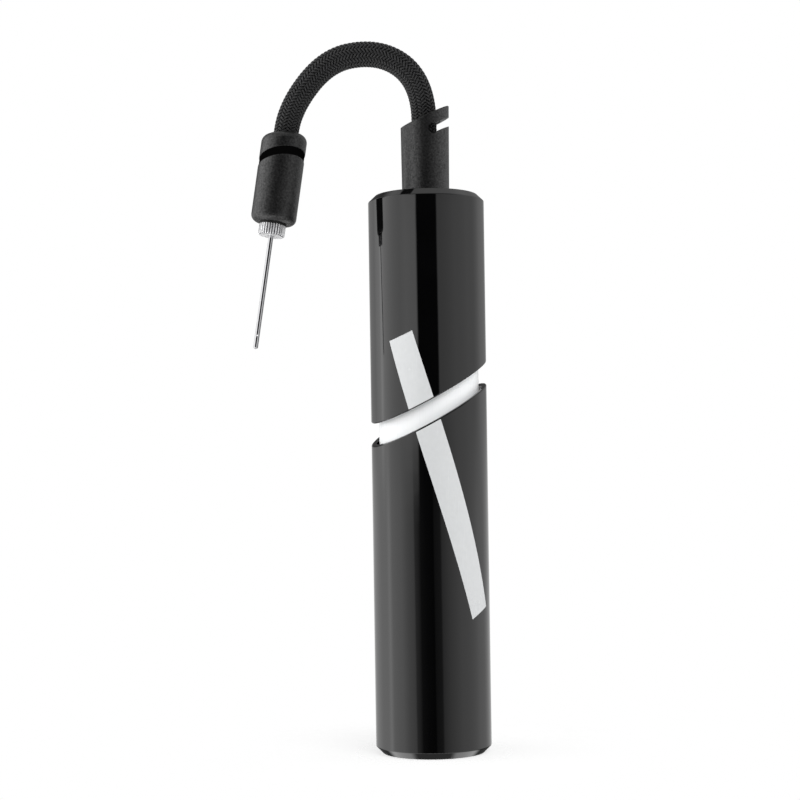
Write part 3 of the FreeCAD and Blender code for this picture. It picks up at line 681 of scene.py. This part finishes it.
def rod_steel():
    """Drawn steel tube."""
    return metal("rod_steel", colours=((0.50, 0.50, 0.51), (0.64, 0.64, 0.65)),
                 finish=(0.14, 0.26), lines=DRAWN, depth=0.004 * MM)


def screw_steel():
    """Steel of the screws and of the spring's wire."""
    return metal("screw_steel", colours=((0.42, 0.42, 0.43), (0.56, 0.56, 0.57)),
                 finish=(0.22, 0.38), lines=TURNED, depth=0.008 * MM)


def fitting_brass():
    """Turned brass."""
    return metal("fitting_brass", colours=((0.62, 0.43, 0.17), (0.76, 0.56, 0.26)),
                 finish=(0.18, 0.34), lines=TURNED, depth=0.008 * MM)


def ferrule_metal():
    """Crimped aluminium."""
    return metal("ferrule_metal", colours=((0.60, 0.60, 0.61), (0.74, 0.74, 0.75)),
                 finish=(0.26, 0.42), lines=TURNED, depth=0.008 * MM)


def soft_material(name, colours, finish):
    """Moulded plastic or rubber with a soft grain."""
    shader = Shader(name, IOR=PLASTIC_IOR)
    shader.colour(shader.mix(shader.noise(SOFT_MOTTLE), *colours))
    shader.roughness(shader.spread(shader.noise(SOFT_GRAIN), *finish))
    shader.bump(shader.noise(SOFT_GRAIN, detail=4.0), SOFT_GRAIN_DEPTH)
    return shader.material


def nylon():
    """Natural nylon."""
    return soft_material("nylon", colours=((0.50, 0.50, 0.46), (0.60, 0.60, 0.56)),
                         finish=(0.34, 0.50))


def seal_rubber():
    """Black rubber of the seals."""
    return soft_material("seal_rubber", colours=((0.002, 0.002, 0.002), (0.007, 0.007, 0.007)),
                         finish=(0.60, 0.80))


# ---------------------------------------------------------------- dressing

def dress(material, *names):
    """Give CAD nodes this material."""
    for name in names:
        for slot in NODES[name].material_slots:
            slot.material = material


def dress_pump():
    """Give every CAD node that is seen its material."""
    dress(grip_gloss(), "upper_sleeve", "lower_sleeve", "bottom_cap")
    dress(barrel_white(), "barrel", "barrel_collar")
    dress(grained_moulding("nozzle_matte"), "hose_guide", "nozzle_cap")
    dress(grained_moulding("nozzle_matte_shaded_ring", painted_shade_ring=True), "nozzle_body")
    dress(needle_plate(), "needle_hub")
    dress(needle_steel(), "needle_tube")
    dress(rod_steel(), "piston_rod")
    dress(screw_steel(), "rod_screw", "piston_screw", "valve_spring")
    dress(fitting_brass(), "hose_barb", "nozzle_barb", "nozzle_socket")
    dress(ferrule_metal(), "hose_ferrule", "nozzle_ferrule")
    dress(nylon(), "head_plug", "valve_seat", "piston", "piston_guide_ring", "rod_gland")
    dress(seal_rubber(), "head_seal", "piston_seal", "gland_bumper", "nozzle_gasket", "valve_disc")


def add_spring():
    """A copy of the outlet valve's spring, carried with the pump head."""
    solid = NODES["valve_spring"]
    spring = bpy.data.objects.new("valve_spring_coil", solid.data.copy())
    spring.matrix_world = solid.matrix_world
    scene.collection.objects.link(spring)
    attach(spring, "pump_head")
    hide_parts("valve_spring")
    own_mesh(spring)


# ---------------------------------------------------------------- studio

# Brightness of the room round the pump, as pairs: the angle from the camera's side in degrees,
# towards +X, and the brightness there. Each list is for light from one band of heights.
ROOM_HIGH = [
    (-180, 0.10), (-142, 0.10), (-126, 0.90), (-106, 2.40), (-87, 2.10), (-60, 1.90), (-46, 1.60),
    (-40, 0.0), (56, 0.0), (70, 0.80), (84, 1.20), (100, 1.10), (124, 0.75), (150, 0.45),
    (180, 0.10),
]
ROOM_ABOVE = [
    (-180, 0.50), (-150, 0.50), (-130, 0.90), (-112, 1.90), (-106, 2.80), (-99, 2.25), (-87, 2.10),
    (-71, 1.82), (-57, 1.66), (-44, 1.83), (-23, 1.70), (-20, 0.0), (18, 0.0), (20, 0.80),
    (29, 0.84), (42, 0.95), (55, 1.08), (85, 1.10), (102, 0.90), (124, 0.90), (150, 0.45),
    (180, 0.50),
]
ROOM_BELOW = [
    (-180, 0.80), (-150, 0.80), (-118, 1.40), (-100, 2.00), (-92, 2.70), (-84, 2.00), (-62, 1.80),
    (-48, 1.25), (-37, 1.00), (-34.5, 0.90), (-32.5, 0.42), (-26, 0.26), (-21, 0.06), (-10, 0.02),
    (4, 0.0), (6, 0.08), (18, 0.14), (21, 0.45), (35, 0.72), (60, 1.10), (105, 1.20), (125, 0.85),
    (180, 0.80),
]
ROOM_LOW = [
    (-180, 0.10), (-142, 0.10), (-118, 1.40), (-92, 2.60), (-62, 1.80), (-37, 1.00), (-32, 0.30),
    (-21, 0.06), (4, 0.0), (18, 0.14), (35, 0.72), (60, 1.10), (96, 1.10), (112, 0.10), (180, 0.10),
]
ROOM_PEAK = 2.8  # the lists' highest brightness, because a colour ramp holds no more than 1

# Heights, as angles above the horizon, between which one band fades into the next.
HORIZON = (math.radians(-2), math.radians(3))
HIGH_EDGE = (math.radians(9), math.radians(11.5))
LOW_EDGE = (math.radians(-15), math.radians(-11))

# Even light from overhead and from the ground, with a dimmer patch straight below the pump.
CEILING = 0.68
CEILING_EDGE = (math.radians(36), math.radians(54))
GROUND = 2.0
GROUND_EDGE = (math.radians(-46), math.radians(-34))
GROUND_GAP = 0.30
GROUND_GAP_EDGE = (math.radians(-71), math.radians(-63))

SOFT_LIGHT = 1.12  # how much brighter the room is for matt surfaces than in reflections

LAMP_PLACE = (0.235, -0.44, 0.52)
LAMP_AIM = Vector((0.0, 0.0, 0.12))
LAMP_SIZE = 0.5
LAMP_POWER = 3.5

FLOOR_RADIUS = 0.08
FLOOR_SIDES = 96
FLOOR_WHITE = ((0.97, 0.97, 0.97), (0.99, 0.99, 0.99))
FLOOR_MOTTLE = 30.0
FLOOR_ROUGHNESS = 0.8
# How solid the floor is at the pump, and the distances between which it fades out.
FLOOR_SOLID = 0.26
FLOOR_FADE = (0.018, 0.070)


def room_ring(room, turn, levels):
    """The room's brightness all round, from one of the lists."""
    ramp = room.node("ShaderNodeValToRGB")
    stops = ramp.color_ramp.elements
    while len(stops) > 1:
        stops.remove(stops[-1])
    stops[0].position = 0.0
    for degrees, _ in levels[1:]:
        stops.new((degrees + 180) / 360)
    for stop, (_, brightness) in zip(stops, levels):
        level = brightness / ROOM_PEAK
        stop.color = (level, level, level, 1.0)
    room.feed(ramp.inputs[0], turn)
    return ramp.outputs[0]


def room_brightness(room):
    """The brightness of the room in every direction, as a share of its peak."""
    x, y, z = room.coordinates(room.node("ShaderNodeTexCoord").outputs["Generated"])
    angle = room.maths("ARCTAN2", x, room.maths("MULTIPLY", y, -1.0))
    turn = room.spread(angle, 0.0, 1.0, -math.pi, math.pi)
    height = room.maths("ARCSINE", z)
    bright = room_ring(room, turn, ROOM_LOW)
    for edge, levels in ((LOW_EDGE, ROOM_BELOW), (HORIZON, ROOM_ABOVE), (HIGH_EDGE, ROOM_HIGH)):
        above = room.spread(height, 0.0, 1.0, *edge, smooth=True)
        bright = room.mix(above, bright, room_ring(room, turn, levels))
    for edge, below, above, level in ((CEILING_EDGE, 0.0, 1.0, CEILING),
                                      (GROUND_EDGE, 1.0, 0.0, GROUND),
                                      (GROUND_GAP_EDGE, 1.0, 0.0, GROUND_GAP)):
        share = room.spread(height, below, above, *edge, smooth=True)
        bright = room.mix(share, bright, (level / ROOM_PEAK,) * 3)
    return bright


def add_room_light():
    """White room with soft light on both sides and a dark gap behind the camera."""
    world = bpy.data.worlds.new("studio")
    world.use_nodes = True
    scene.world = world
    room = Nodes(world.node_tree)
    light = room.first("BACKGROUND")
    room.feed(light.inputs["Color"], room_brightness(room))
    rays = room.node("ShaderNodeLightPath").outputs
    room.feed(light.inputs["Strength"],
              room.spread(rays["Is Diffuse Ray"], ROOM_PEAK, ROOM_PEAK * SOFT_LIGHT, 0.0, 1.0))
    backdrop = room.node("ShaderNodeBackground")
    backdrop.inputs["Color"].default_value = (1.0, 1.0, 1.0, 1.0)
    either = room.node("ShaderNodeMixShader")
    room.feed(either.inputs[0], rays["Is Camera Ray"])
    room.feed(either.inputs[1], light.outputs[0])
    room.feed(either.inputs[2], backdrop.outputs[0])
    room.feed(room.first("OUTPUT_WORLD").inputs[0], either.outputs[0])


def add_overhead_light():
    """Soft light above the pump, in front of it and a little to the right."""
    light = bpy.data.lights.new("overhead", "AREA")
    light.shape = "DISK"
    light.size = LAMP_SIZE
    light.energy = LAMP_POWER
    lamp = bpy.data.objects.new("overhead", light)
    lamp.location = LAMP_PLACE
    lamp.rotation_mode = "QUATERNION"
    lamp.rotation_quaternion = (LAMP_AIM - lamp.location).to_track_quat("-Z", "Y")
    lamp.visible_camera = False
    lamp.visible_glossy = False
    scene.collection.objects.link(lamp)


def floor_white():
    """Pale floor that fades out with the distance from the pump."""
    shader = Shader("floor_white", Roughness=FLOOR_ROUGHNESS)
    shader.colour(shader.mix(shader.noise(FLOOR_MOTTLE), *FLOOR_WHITE))
    from_middle = shader.vector_maths("LENGTH", shader.place)
    shader.feed(shader.surface.inputs["Alpha"],
                shader.spread(from_middle, FLOOR_SOLID, 0.0, *FLOOR_FADE, smooth=True))
    return shader.material


def add_floor():
    """Plain pale floor at the pump's foot, fading into the white backdrop."""
    angles = [2 * math.pi * k / FLOOR_SIDES for k in range(FLOOR_SIDES)]
    rim = [(FLOOR_RADIUS * math.cos(angle), FLOOR_RADIUS * math.sin(angle), 0.0) for angle in angles]
    data = bpy.data.meshes.new("floor")
    data.from_pydata(rim, [], [tuple(range(FLOOR_SIDES))])
    data.materials.append(floor_white())
    floor = bpy.data.objects.new("floor", data)
    floor.visible_glossy = False
    scene.collection.objects.link(floor)


# ---------------------------------------------------------------- scene

scene.view_settings.view_transform = "Standard"
add_camera()
add_hose()
dress_pump()
add_spring()
add_room_light()
add_overhead_light()
add_floor()
